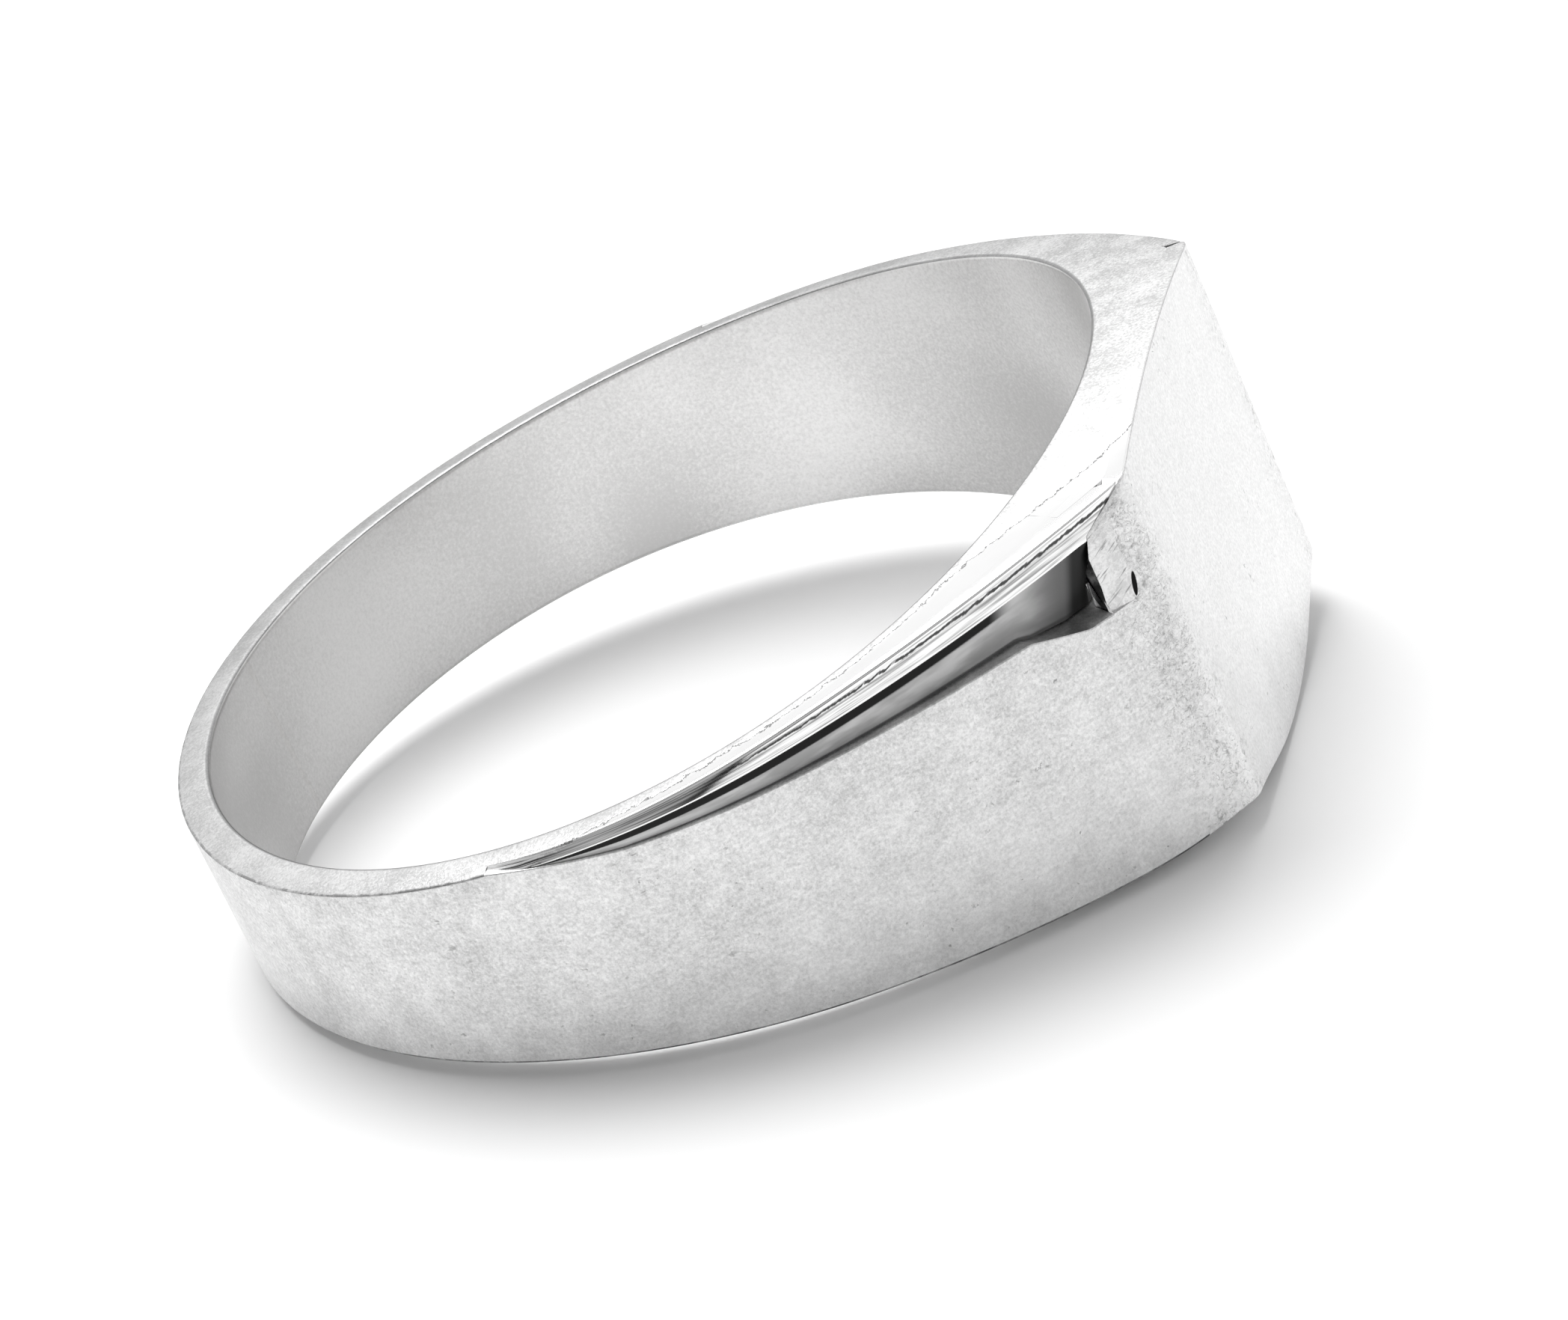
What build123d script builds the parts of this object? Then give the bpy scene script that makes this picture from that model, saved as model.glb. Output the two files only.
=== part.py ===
from build123d import *
import os
from math import acos, atan2, cos, degrees, exp, radians, sin, tan

# Signet ring, built the way a bench jeweller solders one up: a plain finger band, a core
# under the head, a satin strap and signet table bent round the outside, and two polished
# cheeks on the upper side that flare from the shank out to the width of the table. On the
# lower side the satin strap itself flares to the width of the table.
#
# Frame: millimetres. The origin is the centre of the finger bore, +Z runs along the bore
# and +X points at the signet table. "Near" is the -Y side and "far" is the +Y side.

# ---- driving dimensions -------------------------------------------------------------
bore_radius = 9.5           # finger hole, 19 mm across
band_thickness = 0.35       # finger band
shank_radius = 10.22        # outside of the satin strap round the back

table_distance = 10.85      # bore centre to the face of the signet table
table_length = 8.9          # signet table, tip to tip across the finger
table_bend_radius = 0.55    # bend between the table and each shoulder
shoulder_start = 64.0       # degrees from the table at which the shoulders leave the shank

half_width_back = 1.75      # half the ring's width at the back of the shank
half_width_head = 3.8       # half the ring's width at the table, before its flare
side_crown_radius = 58.0    # the two side faces are slightly domed across the ring
side_bow_radius = 150.0     # and very slightly bowed from the back to the table
upper_flare = 0.1           # the middle of the head's upper side stands out this much
lower_flare = 0.3           # and the middle of its lower side this much
flare_start_x = 4.0
flare_full_x = 9.5
corner_wear = 0.22          # the table's lower corners are worn down by this much
worn_corner_y = 3.9
worn_corner_length = 1.9
worn_corner_depth = 1.1

strap_half_width = 1.9      # height of the satin strap's upper edge beside the cheeks
cheek_tip_x = -1.2          # where the cheeks start to show beside the strap
cheek_tip_rise = 0.2        # the strap's edge is this much higher there
cheek_ramp_end_x = 1.5      # where the strap's edge has come down to its own height
notch_dip_half_width = 1.47 # the strap is filed down to this in the notch at the head
notch_dip_start = 1.25      # the file enters this far back from the notch's end wall
notch_dip_end = 0.33        # and is at full depth here
notch_setback = 1.25        # from the table's corner back to the notch's end wall
notch_lean = -7.0           # degrees that the end wall leans back as it rises
bevel_setback = 0.65        # a shallow filed bevel starts here and runs back to the notch
bevel_depth = 0.10          # and is this deep at the notch's end wall

ledge_at_tip = 0.03         # how far the cheek's wall stands in from the strap's face
ledge_at_notch = 0.5
facet_rise_tip = 0.10       # height of the cheek's wall above the strap
facet_rise_notch = 1.06
facet_inset_tip = 0.02      # the wall's top edge, in from the strap's face
facet_inset_notch = 0.10
face_rise_tip = 0.12        # from the wall's top edge up to the side face
face_rise_notch = 0.73
face_inset_tip = 0.22       # outer edge of the polished side face, in from the strap's face
face_inset_notch = 0.02

seam_angle = 187.0          # degrees from the table to the solder seam
seam_width = 0.16

# ---- worked out from them -------------------------------------------------------------
strap_thickness = shank_radius - bore_radius - band_thickness
band_radius = bore_radius + band_thickness
table_corner = Vector(table_distance, -table_length / 2)

# ---- sizes of the solids that are cut down to shape -------------------------------------
tall = 12.0                 # taller than the ring
wide = 60.0                 # wider than the ring
side_grid = 0.6             # spacing of the points that carry a side face
grid_reach = 22             # and how many of them lie on each side of the middle
side_overshoot = 0.7        # cheeks are lofted this much past the side face
cheek_root_height = 1.2     # and from this far below the strap's edge
cheek_stations = (-0.06, 0.12, 0.3, 0.5, 0.7, 0.88, 1.06, 1.2)  # 0 is the tip, 1 the notch


def polar(radius, angle):
    """Point of the ring's plan at this distance and angle in degrees from the table."""
    return Vector(radius * cos(radians(angle)), radius * sin(radians(angle)))


def shoulder_circle():
    """Centre and radius of the near shoulder: tangent to the shank, through the corner."""
    outward = polar(1.0, -shoulder_start)
    start = outward * shank_radius
    span = table_corner - start
    radius = -span.dot(span) / (2 * span.dot(outward))
    return start - outward * radius, radius


shoulder_centre, shoulder_radius = shoulder_circle()


def corner_at(inset):
    """Near corner of the plan, where shoulder and table meet, for an inset outline."""
    x = table_distance - inset
    reach = shoulder_radius - inset
    drop = (reach ** 2 - (x - shoulder_centre.X) ** 2) ** 0.5
    return Vector(x, shoulder_centre.Y - drop)


def shoulder_point(inset, fraction):
    """Point along the near shoulder, from the shank (0) to the table's corner (1)."""
    corner = corner_at(inset) - shoulder_centre
    first = -shoulder_start
    last = degrees(atan2(corner.Y, corner.X))
    return shoulder_centre + polar(shoulder_radius - inset, first + (last - first) * fraction)


def mirrored(point):
    return Vector(point.X, -point.Y)


def outline(inset=0.0):
    """Plan of the ring's outside, seen along the bore, moved inwards by inset."""
    shank = shank_radius - inset
    shank_end = polar(shank, -shoulder_start)
    corner = corner_at(inset)
    middle = shoulder_point(inset, 0.5)
    near = ThreePointArc(shank_end, middle, corner)
    table = Line(corner, mirrored(corner))
    far = ThreePointArc(mirrored(corner), mirrored(middle), mirrored(shank_end))
    back = ThreePointArc(mirrored(shank_end), Vector(-shank, 0), shank_end)
    face = make_face([near, table, far, back])
    corners = [v for v in face.vertices() if v.X > table_distance - inset - 0.01]
    return fillet(corners, max(table_bend_radius - inset, 0.1))


def plan_prism(inset=0.0):
    return extrude(outline(inset), tall / 2, both=True)


def disc(radius):
    return Cylinder(radius, tall)


def smooth_step(value, first, last):
    """0 before first, 1 after last, and smooth between them."""
    share = min(max((value - first) / (last - first), 0.0), 1.0)
    return share * share * (3 - 2 * share)


def domed_height(x, y):
    """Height of a face that is domed across the ring and bowed from back to table."""
    run = table_distance + shank_radius
    slope = atan2(half_width_head - half_width_back, run)
    middle_z = (half_width_head + half_width_back) / 2 + run ** 2 / (8 * side_bow_radius)
    drop = side_crown_radius - (side_crown_radius ** 2 - y ** 2) ** 0.5
    rise = 0.0
    for _ in range(6):
        along = (x + shank_radius - run / 2 + rise * sin(slope)) / cos(slope)
        rise = ((side_bow_radius - drop) ** 2 - along ** 2) ** 0.5 - side_bow_radius
    return middle_z + along * sin(slope) + rise * cos(slope)


def half_plan(x):
    """Half the plan's size across the finger, beside the shoulders."""
    away = min(x, table_distance) - shoulder_centre.X
    return (shoulder_radius ** 2 - away ** 2) ** 0.5 - shoulder_centre.Y


def side_height(x, y, lower):
    """Height of the upper side face, or depth of the lower one, at this point of the plan."""
    height = domed_height(x, y)
    flare = lower_flare if lower else upper_flare
    opening = flare * smooth_step(x, flare_start_x, flare_full_x)
    if opening:
        height += opening * (1 - (y / half_plan(x)) ** 2)
    if lower:
        off_corner = (abs(y) - worn_corner_y) / worn_corner_length
        off_table = (x - table_distance) / worn_corner_depth
        height -= corner_wear * exp(-off_corner ** 2 - off_table ** 2)
    return height


def below_side(lower=False):
    """Space under a side face."""
    across = [side_grid * step for step in range(-grid_reach, grid_reach + 1)]
    grid = [[Vector(x, y, side_height(x, y, lower)) for y in across] for x in across]
    face = Face.make_surface_from_array_of_points(grid, tol=0.001)
    return extrude(face, 2 * tall, dir=(0, 0, -1))


def side_envelope():
    """Space between the two side faces, which open out from the back to the table."""
    return below_side() & mirror(below_side(lower=True), about=Plane.XY)


def shoulder_run():
    """Corner of the table, and the direction from it back along the near shoulder."""
    corner = corner_at(0.0)
    return corner, (shoulder_point(0.0, 0.85) - corner).normalized()


def notch_foot():
    """Point on the near shoulder where the notch's end wall stands on the strap."""
    corner, backwards = shoulder_run()
    return corner + backwards * notch_setback


def head_side():
    """Space on the table's side of the notches, whose end walls lean back as they rise."""
    corner, backwards = shoulder_run()
    lean_run = (tall - notch_dip_half_width) * tan(radians(notch_lean))
    profile = Polyline((-wide, -tall), (-wide, tall), (notch_setback + lean_run, tall),
                       (notch_setback, notch_dip_half_width), (notch_setback, -tall), close=True)
    wall = Plane(origin=corner, x_dir=backwards, z_dir=(backwards.Y, -backwards.X, 0))
    near = extrude(make_face(wall * profile), wide, both=True)
    return near & mirror(near, about=Plane.XZ)


def filed_bevels():
    """The two wedges filed off the head, each between a notch and the table."""
    corner, backwards = shoulder_run()
    outwards = Vector(-backwards.Y, backwards.X)
    start = corner + backwards * bevel_setback
    length = notch_setback - bevel_setback + 1
    depth = bevel_depth * length / (notch_setback - bevel_setback)
    end = start + backwards * length - outwards * depth
    plan = make_face(Polyline(start, start + outwards, end + outwards, end, close=True))
    near = Pos(0, 0, notch_dip_half_width) * extrude(plan, tall)
    return near, mirror(near, about=Plane.XZ)


def above_strap():
    """Space above the strap's upper edge, where a cheek may stand."""
    notch_x = notch_foot().X
    past_table = table_distance + 1
    edge = [(cheek_tip_x, strap_half_width + cheek_tip_rise),
            (cheek_ramp_end_x, strap_half_width),
            (notch_x - notch_dip_start, strap_half_width),
            (notch_x - notch_dip_end, notch_dip_half_width),
            (past_table, notch_dip_half_width)]
    top = [(past_table, tall), (cheek_tip_x, tall)]
    profile = make_face(Plane.XZ * Polyline(*edge, *top, close=True))
    return extrude(profile, wide / 2, both=True)


def outside_radius(angle):
    """Distance from the bore's centre to the outline at this angle off the table."""
    if angle > shoulder_start:
        return shank_radius
    away = polar(1.0, -angle)
    along = shoulder_centre.dot(away)
    across = shoulder_centre.dot(shoulder_centre) - along ** 2
    return along + (shoulder_radius ** 2 - across) ** 0.5


def ramp(fraction, first, last, power=1.0):
    """Value between first, at the cheek's tip, and last, at the notch."""
    return first + (last - first) * min(max(fraction, 0.0), 1.0) ** power


def cheek_profile(fraction, outside):
    """Corners of the cheek's flared section, as distance from the bore axis and height."""
    wall_foot = outside - ramp(fraction, ledge_at_tip, ledge_at_notch, 1.6)
    facet_edge = outside - ramp(fraction, facet_inset_tip, facet_inset_notch)
    face_edge = outside - ramp(fraction, face_inset_tip, face_inset_notch)
    facet_height = strap_half_width + ramp(fraction, facet_rise_tip, facet_rise_notch, 1.1)
    face_height = facet_height + ramp(fraction, face_rise_tip, face_rise_notch)
    past_face = 1.0 + side_overshoot
    return [(bore_radius, cheek_root_height), (wall_foot, cheek_root_height),
            (wall_foot, notch_dip_half_width), (facet_edge, facet_height),
            (facet_edge + (face_edge - facet_edge) * past_face,
             facet_height + (face_height - facet_height) * past_face),
            (bore_radius, face_height + side_overshoot)]


def cheek_section(fraction):
    """Flared section of the near cheek at this fraction of the way to the notch."""
    tip = degrees(acos(cheek_tip_x / shank_radius))
    notch = -degrees(atan2(notch_foot().Y, notch_foot().X))
    angle = tip + (notch - tip) * fraction
    across, along = polar(1.0, -angle), polar(1.0, -angle - 90)
    station = Plane(origin=(0, 0, 0), x_dir=across, z_dir=along)
    points = cheek_profile(fraction, outside_radius(angle))
    return make_face(station * Polyline(*points, close=True))


def near_cheek(envelope, head):
    """Polished cheek: side face, narrow facet, and a wall down to the strap."""
    flare = loft([cheek_section(fraction) for fraction in cheek_stations])
    return (flare & envelope & above_strap()) - disc(band_radius) - head


def band_parts(envelope):
    """Finger band, with the solder seam that closes it at the back."""
    band = (disc(band_radius) & envelope) - disc(bore_radius)
    slab = Box(2 * band_thickness + 1, seam_width, tall)
    slab = Rot(0, 0, seam_angle) * Pos(bore_radius + band_thickness / 2, 0, 0) * slab
    return {"inner_band": band - slab, "sizing_seam": band & slab}


def skin_parts(skin, head):
    """Outer skin, cut into the signet table, the strap's back and its two shoulders."""
    shank_skin = skin - head
    back = Pos(cheek_tip_x - wide / 2, 0, 0) * Box(wide, wide, tall)
    near = Pos(0, -wide / 2, 0) * Box(wide, wide, tall)
    shoulders = shank_skin - back
    table = skin & head
    for wedge in filed_bevels():
        table = (table - wedge).solids().sort_by(SortBy.VOLUME)[-1]  # without the chip
    return {"signet_table": table, "back_strap": shank_skin & back,
            "near_shoulder_strap": shoulders & near, "far_shoulder_strap": shoulders - near}


def cheek_parts(envelope, head):
    near = near_cheek(envelope, head)
    return {"near_cheek": near, "far_cheek": mirror(near, about=Plane.XZ)}


def build():
    envelope = side_envelope()
    head = head_side()
    cheek_space = above_strap() - head
    inside_skin = plan_prism(strap_thickness) & envelope
    skin = (plan_prism() & envelope) - inside_skin - cheek_space
    core = inside_skin - disc(band_radius) - cheek_space
    parts = band_parts(envelope)
    parts["head_block"] = core
    parts.update(skin_parts(skin, head))
    parts.update(cheek_parts(envelope, head))
    return parts


def main():
    os.makedirs("parts", exist_ok=True)
    for name, shape in build().items():
        export_step(shape, f"parts/{name}.step")


main()
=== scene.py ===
import math

import bmesh
import bpy
import numpy as np
from mathutils import Matrix, Vector


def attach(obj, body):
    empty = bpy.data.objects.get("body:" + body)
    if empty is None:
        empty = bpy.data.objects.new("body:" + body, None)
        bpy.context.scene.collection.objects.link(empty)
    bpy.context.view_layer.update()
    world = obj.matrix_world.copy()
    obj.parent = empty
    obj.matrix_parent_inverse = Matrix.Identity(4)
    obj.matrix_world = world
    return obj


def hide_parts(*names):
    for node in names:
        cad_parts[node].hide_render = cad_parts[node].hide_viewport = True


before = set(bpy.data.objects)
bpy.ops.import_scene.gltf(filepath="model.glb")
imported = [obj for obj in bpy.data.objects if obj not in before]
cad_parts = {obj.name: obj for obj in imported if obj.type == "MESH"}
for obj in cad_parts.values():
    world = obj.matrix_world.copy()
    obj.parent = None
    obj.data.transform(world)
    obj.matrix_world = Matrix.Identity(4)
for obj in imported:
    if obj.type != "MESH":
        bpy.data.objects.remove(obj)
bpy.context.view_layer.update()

# The ring lies on its side. Millimetres here, metres in Blender. The bore's axis is Z, the
# signet table faces +X, and angles run from the table towards the near (-Y) side.
MM = 0.001

BORE = 9.5                  # bore radius
BAND = 9.85                 # outside of the finger band
SHANK = 10.216              # outside of the satin strap
TABLE_X = 10.848            # face of the signet table
TABLE_HALF = 4.45           # half the table's length across the finger
BEND = 0.57                 # bend between the table and a shoulder
SHOULDER_START = 64.0       # degrees
HALF_BACK, HALF_HEAD = 1.75, 3.8    # half the ring's width at the back and at the table
CROWN, BOW = 58.0, 150.0    # doming radii of the side faces
SKIN = 0.37                 # thickness of the satin layer
SEAM_ANGLE, SEAM_HALF = 187.0, 0.08  # the solder seam, degrees and half its width
FLARE_UP, FLARE_LOW = 0.096, 0.296  # the middle of the head's two sides stands out further
FLARE_START, FLARE_FULL = 4.0, 9.5
WEAR, WORN_Y, WORN_LONG, WORN_DEEP = 0.22, 3.9, 1.9, 1.1  # the table's worn lower corners

STRAP_HALF = 1.9            # height of the shoulder strap's edge
TIP_X, TIP_RISE, RAMP_END_X = -1.2, 0.2, 1.5  # the edge rises towards the cheek's tip
DIP_HALF = 1.47             # height of the strap's edge in the notch

END_BACK = 1.25             # notch's end wall, back from the table's corner
BEVEL_PAINT_BACK = 0.62     # the filed bevel beside it starts here
BEVEL_FOOT = 1.475          # and at this height
BEVEL_DEPTH = 0.10


# ---- plan outline -------------------------------------------------------------------------
CORNER = np.array([TABLE_X, -TABLE_HALF])


def shoulder_circle():
    """Centre and radius of the arc from the shank, tangent to it, to the table's corner."""
    start_angle = math.radians(SHOULDER_START)
    outward = np.array([math.cos(start_angle), -math.sin(start_angle)])
    start = outward * SHANK
    span = CORNER - start
    radius = -span.dot(span) / (2 * span.dot(outward))
    return start - outward * radius, radius


S_CENTRE, S_RADIUS = shoulder_circle()


def outline_samples():
    """Near half of the outline as (angle, distance) samples, bend rounded."""
    cx = TABLE_X - BEND
    reach = S_RADIUS - BEND
    cy = S_CENTRE[1] - math.sqrt(reach ** 2 - (cx - S_CENTRE[0]) ** 2)
    centre = np.array([cx, cy])
    out = (centre - S_CENTRE) / np.linalg.norm(centre - S_CENTRE)
    a_end = math.atan2(out[1], out[0])
    pts = [np.array([TABLE_X, y]) for y in np.linspace(0, cy, 60)]
    last = -math.radians(SHOULDER_START)
    # bend, shoulder and shank, each arc tangent to the one before
    arcs = ((centre, BEND, np.linspace(0, a_end, 24)),
            (S_CENTRE, S_RADIUS, np.linspace(a_end, last, 240)),
            (np.zeros(2), SHANK, np.linspace(last, -math.pi, 400)))
    for middle, radius, angles in arcs:
        pts += [middle + radius * np.array([math.cos(a), math.sin(a)]) for a in angles[1:]]
    pts = np.array(pts)
    angle = np.degrees(np.arctan2(-pts[:, 1], pts[:, 0]))
    angle[-1] = 180
    return angle, np.hypot(pts[:, 0], pts[:, 1])


OUT_ANGLE, OUT_DIST = outline_samples()


def outside(phi):
    """Distance from the bore's axis to the outline."""
    folded = np.abs((np.asarray(phi, float) + 180) % 360 - 180)
    return np.interp(folded, OUT_ANGLE, OUT_DIST)


CHORD_ANGLE = 0.09          # radians of the shoulder's arc that "back" is measured along


def corner_run():
    """Unit vectors at the table's corner: back along the near shoulder, and outward."""
    a = math.atan2(CORNER[1] - S_CENTRE[1], CORNER[0] - S_CENTRE[0])
    b = a - CHORD_ANGLE
    p = S_CENTRE + S_RADIUS * np.array([math.cos(b), math.sin(b)])
    back = (p - CORNER) / np.linalg.norm(p - CORNER)
    return back, np.array([-back[1], back[0]]) * np.sign(-back[1] * CORNER[0] + back[0] * CORNER[1])


RUN_BACK, RUN_OUT = corner_run()


def angle_at(back, inset=0.0):
    """Angle of the point this far back from the table's corner, and this far in."""
    p = CORNER[:, None] + RUN_BACK[:, None] * np.atleast_1d(back) - RUN_OUT[:, None] * np.atleast_1d(inset)
    out = np.degrees(np.arctan2(-p[1], p[0]))
    return out if np.ndim(back) or np.ndim(inset) else float(out[0])


# ---- side faces -----------------------------------------------------------------------------
def side(x, y, flare=FLARE_UP):
    """Height of the upper side face above this point."""
    run = TABLE_X + SHANK
    slope = math.atan2(HALF_HEAD - HALF_BACK, run)
    mid_x = run / 2 - SHANK
    mid_z = (HALF_HEAD + HALF_BACK) / 2 + run ** 2 / (8 * BOW)
    rho = BOW - (CROWN - np.sqrt(CROWN ** 2 - np.asarray(y) ** 2))
    lz = np.zeros_like(rho)
    for _ in range(6):
        lx = (x - mid_x + lz * math.sin(slope)) / math.cos(slope)
        lz = np.sqrt(rho ** 2 - lx ** 2) - BOW
    height = mid_z + lx * math.sin(slope) + lz * math.cos(slope)
    share = np.clip((np.asarray(x) - FLARE_START) / (FLARE_FULL - FLARE_START), 0, 1)
    away = np.minimum(x, TABLE_X) - S_CENTRE[0]
    half_plan = np.sqrt(np.maximum(S_RADIUS ** 2 - away ** 2, 1.0)) - S_CENTRE[1]
    return height + flare * share ** 2 * (3 - 2 * share) * (1 - (np.asarray(y) / half_plan) ** 2)


def xyz(r, phi, z):
    """Points from radius, angle in degrees and height."""
    r, phi, z = np.broadcast_arrays(r, phi, z)
    a = np.radians(phi)
    return np.stack([r * np.cos(a), -r * np.sin(a), z], -1)


def side_at(r, phi):
    """Height of the upper side face at this radius and angle."""
    p = xyz(r, phi, 0.0)
    return side(p[..., 0], p[..., 1])


def low_at(r, phi):
    """Depth of the lower side face, which is worn at the table's corners."""
    p = xyz(r, phi, 0.0)
    x, y = p[..., 0], p[..., 1]
    off = ((np.abs(y) - WORN_Y) / WORN_LONG) ** 2 + ((x - TABLE_X) / WORN_DEEP) ** 2
    return side(x, y, FLARE_LOW) - WEAR * np.exp(-off)


# ---- features of the cheeks along the ring ----------------------------------------------------
TIP = float(np.degrees(np.arccos(TIP_X / SHANK)))
END = angle_at(END_BACK)


def along(phi):
    """0 at the cheek's tip, 1 at the notch."""
    return np.clip((TIP - np.asarray(phi, float)) / (TIP - END), 0, 1)


def ramp(f, a, b, power=1.0):
    """From a at the cheek's tip to b at the notch."""
    return a + (b - a) * f ** power


def strap_edge(phi):
    """Height of the strap's edge."""
    x = outside(phi) * np.cos(np.radians(phi))
    end_x = (CORNER + RUN_BACK * END_BACK)[0]
    xs = [-99, TIP_X, RAMP_END_X, end_x - 1.25, end_x - 0.35, 99]
    zs = [STRAP_HALF + TIP_RISE, STRAP_HALF + TIP_RISE, STRAP_HALF, STRAP_HALF, DIP_HALF, DIP_HALF]
    return np.interp(x, xs, zs)


LEDGE_RISE, RISE_START, RISE_LENGTH = 0.22, 0.90, 0.07


def ledge_lift(phi):
    """Rise of the strap's edge from its outside to the wall, only in the notch."""
    return LEDGE_RISE * np.clip((along(phi) - RISE_START) / RISE_LENGTH, 0, 1)


def features(phi):
    """Sections of the cheek. v is the facet's foot, and r3 its edge with the upper side."""
    f = along(phi)
    d = outside(phi)
    wall = d - ramp(f, 0.03, 0.5, 1.6)
    v_r = d - ramp(f, 0.02, 0.10)
    v_z = STRAP_HALF + ramp(f, 0.10, 1.06, 1.1)
    face_r = d - ramp(f, 0.22, 0.02)
    face_z = v_z + ramp(f, 0.12, 0.73)
    u = np.ones_like(d)
    for _ in range(8):
        r = v_r + (face_r - v_r) * u
        u = (side_at(r, phi) - v_z) / (face_z - v_z)
    r3 = v_r + (face_r - v_r) * u
    return dict(d=d, wall=wall, v_r=v_r, v_z=v_z, r3=r3, ledge=strap_edge(phi))


# ---- mesh helpers -----------------------------------------------------------------------------
SHARP_FROM = math.radians(32)


def rounded(P, radii, steps=5):
    """Rounds the corners of closed loops P (stations, corners, 3)."""
    K = P.shape[1]
    rows = []
    for k in range(K):
        c = P[:, k]
        if radii[k] <= 0:
            rows.append(c[:, None])
            continue
        a, b = P[:, (k - 1) % K] - c, P[:, (k + 1) % K] - c
        la = np.maximum(np.linalg.norm(a, axis=1, keepdims=True), 1e-9)
        lb = np.maximum(np.linalg.norm(b, axis=1, keepdims=True), 1e-9)
        a, b = a / la, b / lb
        cosang = np.clip((a * b).sum(1, keepdims=True), -0.999, 0.999)
        half = np.arccos(cosang) / 2
        t = np.minimum(radii[k] / np.tan(half), 0.45 * np.minimum(la, lb))
        p0, p1 = c + a * t, c + b * t
        for i in range(steps + 1):
            w = i / steps
            rows.append(((1 - w) ** 2 * p0 + 2 * w * (1 - w) * c + w * w * p1)[:, None])
    return np.concatenate(rows, 1)


def corner_slots(radii, steps=5):
    """Index ranges each rounded corner takes up."""
    out, n = [], 0
    for r in radii:
        m = 1 if r <= 0 else steps + 1
        out.append((n, n + m - 1))
        n += m
    return out


def walls(S, M):
    """Quads between neighbouring loops of M points, S loops in all."""
    return [(s * M + m, s * M + (m + 1) % M, (s + 1) * M + (m + 1) % M, (s + 1) * M + m)
            for s in range(S - 1) for m in range(M)]


def sweep(name, P, material_of=None, materials=()):
    """Solid from loops P (stations, points, 3), joined in order and capped at both ends."""
    S, M, _ = P.shape
    faces = walls(S, M)
    mats = [material_of(i % M) if material_of else 0 for i in range(len(faces))] + [0, 0]
    faces.append(tuple(range(M - 1, -1, -1)))
    faces.append(tuple((S - 1) * M + i for i in range(M)))
    mesh = bpy.data.meshes.new(name)
    mesh.from_pydata((P.reshape(-1, 3) * MM).tolist(), [], faces)
    mesh.polygons.foreach_set("material_index", mats)
    flow = mesh.uv_layers.new(name="flow")
    for face in mesh.polygons:
        for corner, vertex in zip(face.loop_indices, face.vertices):
            across = vertex % M
            if across == 0 and max(v % M for v in face.vertices) == M - 1:
                across = M
            flow.data[corner].uv = (vertex // M / (S - 1), across / M)
    obj = link(name, mesh)
    for m in materials:
        mesh.materials.append(m)
    clean(obj)
    return obj


def clean(obj):
    """Merges points, turns the faces outward and shades the piece."""
    bm = bmesh.new()
    bm.from_mesh(obj.data)
    bmesh.ops.remove_doubles(bm, verts=bm.verts, dist=2e-7)
    bmesh.ops.dissolve_degenerate(bm, dist=1e-7, edges=bm.edges)
    bmesh.ops.recalc_face_normals(bm, faces=bm.faces)
    bm.to_mesh(obj.data)
    bm.free()
    obj.data.shade_smooth()
    obj.data.set_sharp_from_angle(angle=SHARP_FROM)
    even_shading(obj)


def even_shading(obj):
    weighted = obj.modifiers.new("even_shading", "WEIGHTED_NORMAL")
    weighted.keep_sharp = True
    weighted.weight = 80


def link(name, mesh):
    obj = bpy.data.objects.new(name, mesh)
    bpy.context.scene.collection.objects.link(obj)
    return obj


def mirrored(obj, name):
    """The same piece on the far side."""
    mesh = obj.data.copy()
    mesh.name = name
    mesh.transform(Matrix.Scale(-1, 4, Vector((0, 1, 0))))
    mesh.flip_normals()
    new = link(name, mesh)
    even_shading(new)
    return new


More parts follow.
